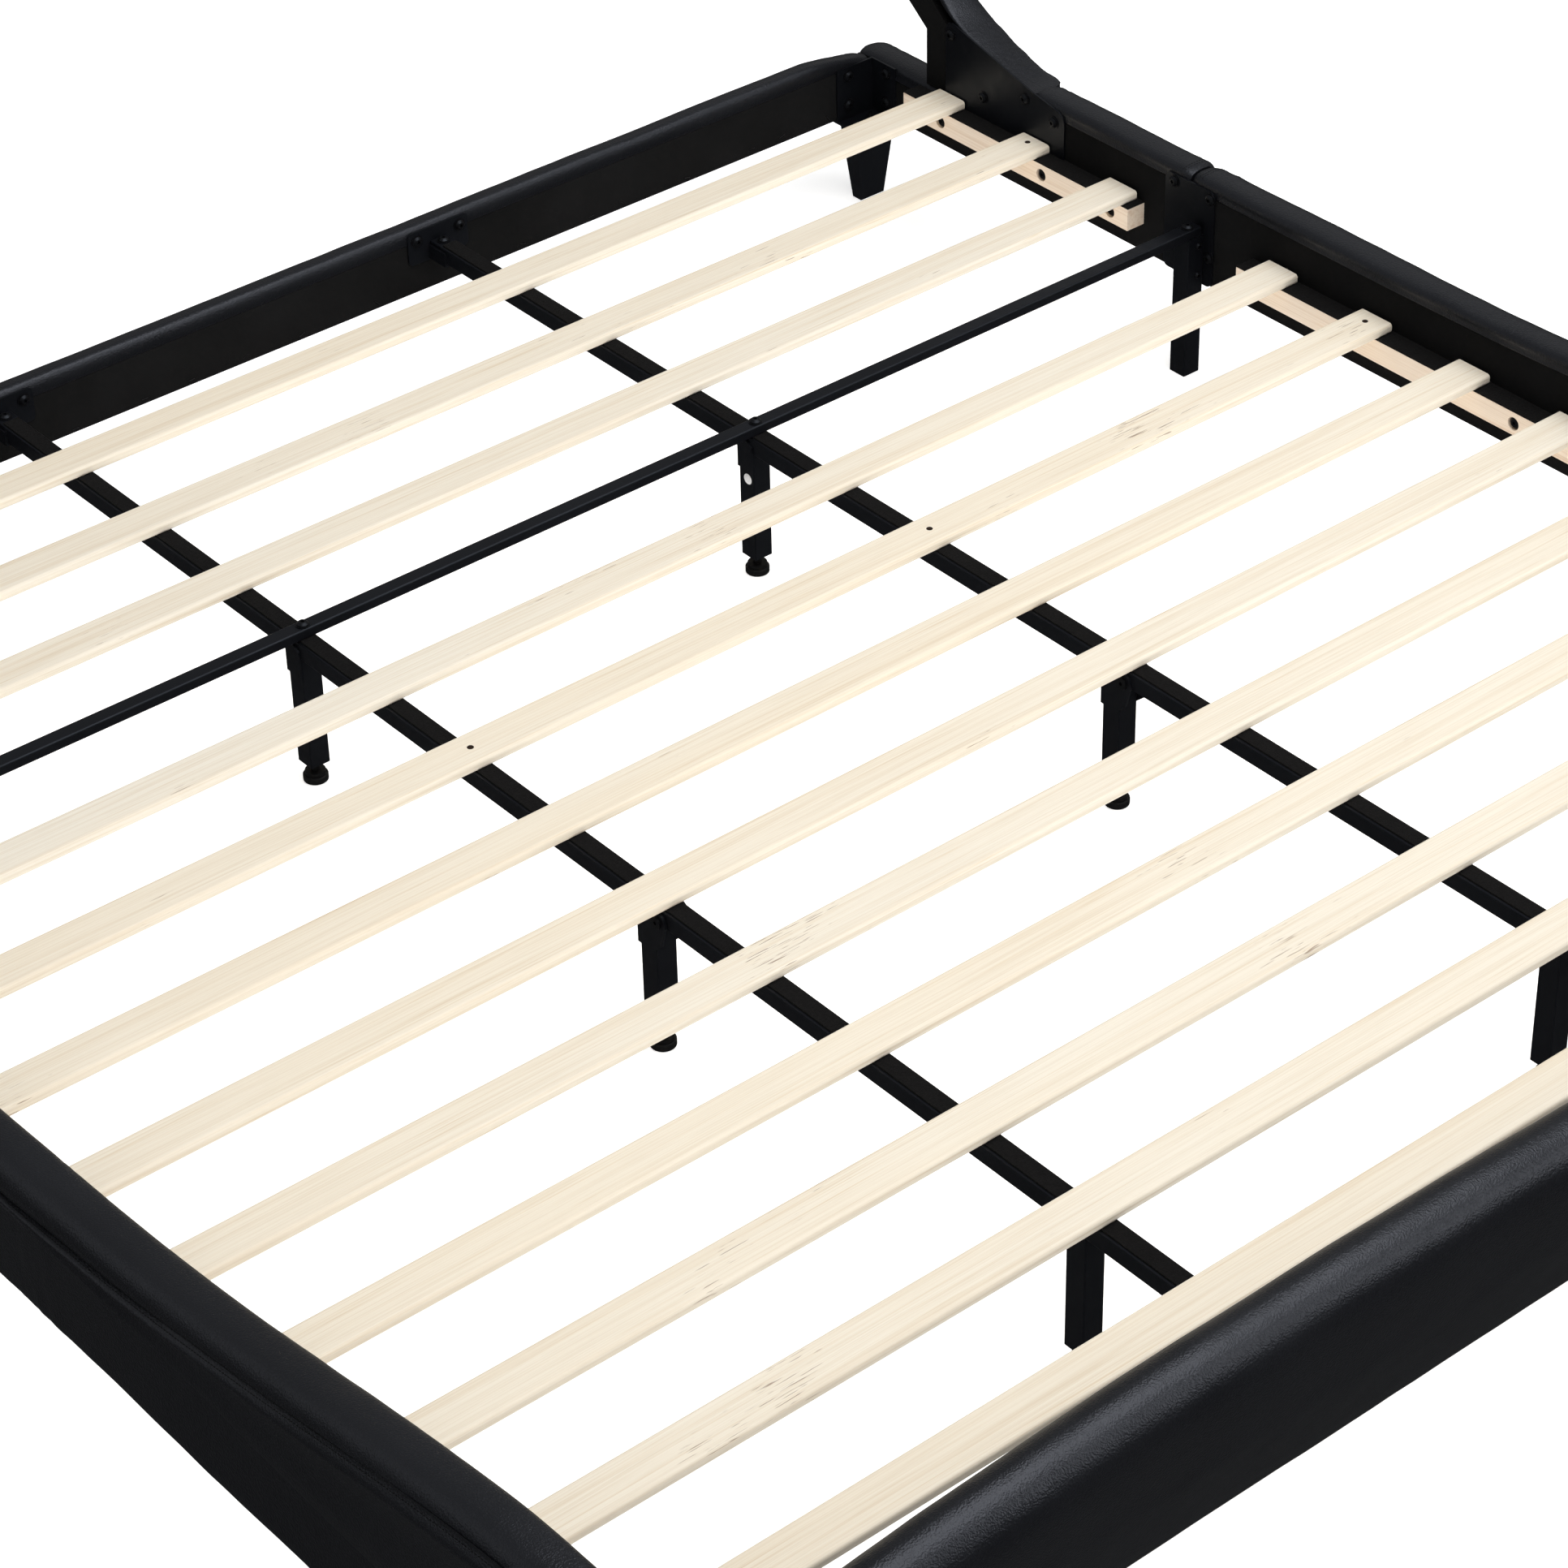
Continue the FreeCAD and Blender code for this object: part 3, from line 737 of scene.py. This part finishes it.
def stitches(name, lines, pitch=4.2, length=3.0, radius=0.45):
    """Thread stitches laid along lines of ((point), (outward normal)) samples."""
    verts = []
    faces = []
    for line in lines:
        pts = [Vector(p) for p, _ in line]
        nrm = [Vector(n).normalized() for _, n in line]
        total = 0.0
        marks = []
        for i in range(len(pts) - 1):
            seg = (pts[i + 1] - pts[i]).length
            while total < seg:
                f = total / seg
                marks.append((pts[i].lerp(pts[i + 1], f), (pts[i + 1] - pts[i]).normalized(), nrm[i]))
                total += pitch
            total -= seg
        for c, d, n in marks:
            side = d.cross(n)
            start = len(verts)
            for t, r, lift in ((-0.5, 0.35, -0.25), (-0.3, 0.95, 0.15), (0.0, 1.1, 0.35),
                               (0.3, 0.95, 0.15), (0.5, 0.35, -0.25)):
                mid = c + d * (t * length) + n * (lift * radius)
                for a in range(6):
                    ang = a * math.pi / 3
                    v = mid + (side * math.cos(ang) + n * math.sin(ang)) * radius * r
                    verts.append((v.x * MM, v.y * MM, v.z * MM))
            for i in range(4):
                for a in range(6):
                    b = (a + 1) % 6
                    faces.append((start + i * 6 + a, start + i * 6 + b, start + (i + 1) * 6 + b,
                                  start + (i + 1) * 6 + a))
            faces.append(tuple(start + a for a in range(5, -1, -1)))
            faces.append(tuple(start + 24 + a for a in range(6)))
    mesh = bpy.data.meshes.new(name)
    mesh.from_pydata(verts, [], faces)
    mesh.polygons.foreach_set("use_smooth", [True] * len(mesh.polygons))
    obj = bpy.data.objects.new(name, mesh)
    bpy.context.scene.collection.objects.link(obj)
    return obj


def on_surface(obj, lines):
    """Lines moved onto the nearest points of a piece's surface, in millimetres."""
    bm = bmesh.new()
    bm.from_mesh(obj.data)
    tree = BVHTree.FromBMesh(bm)
    out = []
    for line in lines:
        moved = []
        for p, n in line:
            spot, normal, _, _ = tree.find_nearest(Vector(p) * MM)
            moved.append((spot / MM, normal))
        out.append(moved)
    bm.free()
    return out


def seam_lines(sign):
    lines = []
    for off in (3.2, -3.4):
        line = []
        for k in range(0, 241):
            y = 412.0 - k * 6.0
            top = lerp_table(SIDE_TOP, y)
            z = top - lerp_table(SEAM_DROP, y) + off
            x = 1029.3 if off > 0 else 1029.6
            line.append(((sign * x, y, z), (sign, 0, 0)))
        lines.append(line)
    return lines


def end_lines(sign, ys):
    """Stitch rows across the top of a pad, close to its end."""
    lines = []
    for y in ys:
        line = []
        for k in range(25):
            x = 981 + 45 * k / 24
            line.append(((sign * x, y, 258), (0, 0, 1)))
        lines.append(line)
    return lines


rows = []
for sign, front_pad, rear_pad in ((1, front_right, rear_right), (-1, front_left, rear_left)):
    rows += on_surface(front_pad, seam_lines(sign) + end_lines(sign, (408, 404)))
    rows += on_surface(rear_pad, end_lines(sign, (431, 435)))
thread = stitches("seam_stitches", rows)
finish_piece(thread, mat_thread)


# ---------------------------------------------------------------- staples, label and painted-shade discs over the screw holes


def small_boxes(name, items):
    """Many little bevelled bars: (centre, half sizes, spin about Y)."""
    bm = bmesh.new()
    for c, h, spin in items:
        m = Matrix.Translation([v * MM for v in c]) @ Matrix.Rotation(spin, 4, "Y")
        r = bmesh.ops.create_cube(bm, size=2.0)
        for v in r["verts"]:
            v.co = m @ Vector((v.co.x * h[0] * MM, v.co.y * h[1] * MM, v.co.z * h[2] * MM))
    bmesh.ops.bevel(bm, geom=bm.edges[:], offset=0.0002, segments=2, affect="EDGES")
    return object_of(name, bm)


items = []
for k in range(24):
    x = -940 + k * 81.0 + lump((k * 37.0, 0, 0), 11, 50, 1.0)
    if abs(abs(x) - BEAM_X) < 52:
        continue
    z = 127 + lump((k * 53.0, 9, 0), 13, 6, 2.0)
    items.append(((x, 991.6, z), (4.2, 0.4, 0.45), lump((k * 19.0, 4, 4), 7, 1.6, 3.0)))
staples = small_boxes("head_rail_staples", items)
finish_piece(staples, mat_staple, sharp=30)

# blank round label on the inner side of a head beam leg
bm = bmesh.new()
bmesh.ops.create_cone(bm, cap_ends=True, segments=40, radius1=0.0065, radius2=0.0062, depth=0.0004)
label = object_of("blank_label", bm)
label.matrix_world = Matrix.Translation((0.2898, 0.4010, 0.1270)) @ Matrix.Rotation(-math.pi / 2, 4, "Y")
finish_piece(label, mat_label)

# flat dark discs over the screws of the two holed slats: painted shade standing in for the shade inside the
# countersunk screw holes
holed = (("slat_02", (-962, 962)), ("slat_05", (-957, -BEAM_X, BEAM_X, 957)))
bm = bmesh.new()
for node, xs in holed:
    corners = [nodes[node].matrix_world @ Vector(c) for c in nodes[node].bound_box]
    y = sum(c.y for c in corners) / 8
    z = max(c.z for c in corners)
    for x in xs:
        place = Matrix.Translation((x * MM, y, z + 0.0001))
        bmesh.ops.create_cone(bm, cap_ends=True, segments=32, radius1=0.0036, radius2=0.0033,
                              depth=0.0003, matrix=place)
hole_shade_discs = object_of("slat_screw_hole_painted_shade", bm)
finish_piece(hole_shade_discs, mat_hole_painted_shade)

# ---------------------------------------------------------------- floor and light

bm = bmesh.new()
bmesh.ops.create_grid(bm, x_segments=1, y_segments=1, size=200.0)
floor = object_of("floor", bm)
floor.location = (0, 0, -0.0005)
m, t, s = new_material("floor")
s.inputs["Base Color"].default_value = (0.93, 0.93, 0.93, 1)
s.inputs["Roughness"].default_value = 0.9
s.inputs["Specular IOR Level"].default_value = 0.1
s.inputs["Emission Color"].default_value = (1, 1, 1, 1)
s.inputs["Emission Strength"].default_value = 0.6
floor.data.materials.append(m)
floor.visible_glossy = False

world = bpy.data.worlds.new("world")
bpy.context.scene.world = world
world.use_nodes = True
sky = world.node_tree
sky_dir = add(sky, "ShaderNodeTexCoord")
sky_split = add(sky, "ShaderNodeSeparateXYZ")
sky.links.new(sky_dir.outputs["Generated"], sky_split.inputs[0])
sky_ramp = ramp(sky, sky_split, "Z", [(0.0, grey(0.05)), (0.15, grey(0.20)), (1.0, grey(0.30))])
link(sky, sky_ramp, "Color", sky.nodes["Background"], "Color")


def area(name, place, target, size, power):
    data = bpy.data.lights.new(name, "AREA")
    data.shape = "RECTANGLE"
    data.size = size[0]
    data.size_y = size[1]
    data.energy = power
    obj = bpy.data.objects.new(name, data)
    bpy.context.scene.collection.objects.link(obj)
    d = Vector(target) - Vector(place)
    obj.matrix_world = Matrix.Translation(place) @ d.to_track_quat("-Z", "Y").to_matrix().to_4x4()
    return obj


area("top", (0.8, -1.2, 4.5), (0.2, 0.1, 0.2), (5.0, 3.6), 193)
area("side", (4.6, 3.6, 2.6), (0, 0, 0.2), (2.6, 1.6), 4)
area("front", (2.9, -4.4, 2.5), (0, 0, 0.2), (3.6, 3.2), 75)
area("left", (-3.6, 2.2, 2.2), (-1.0, -0.4, 0.2), (3.6, 2.6), 9)
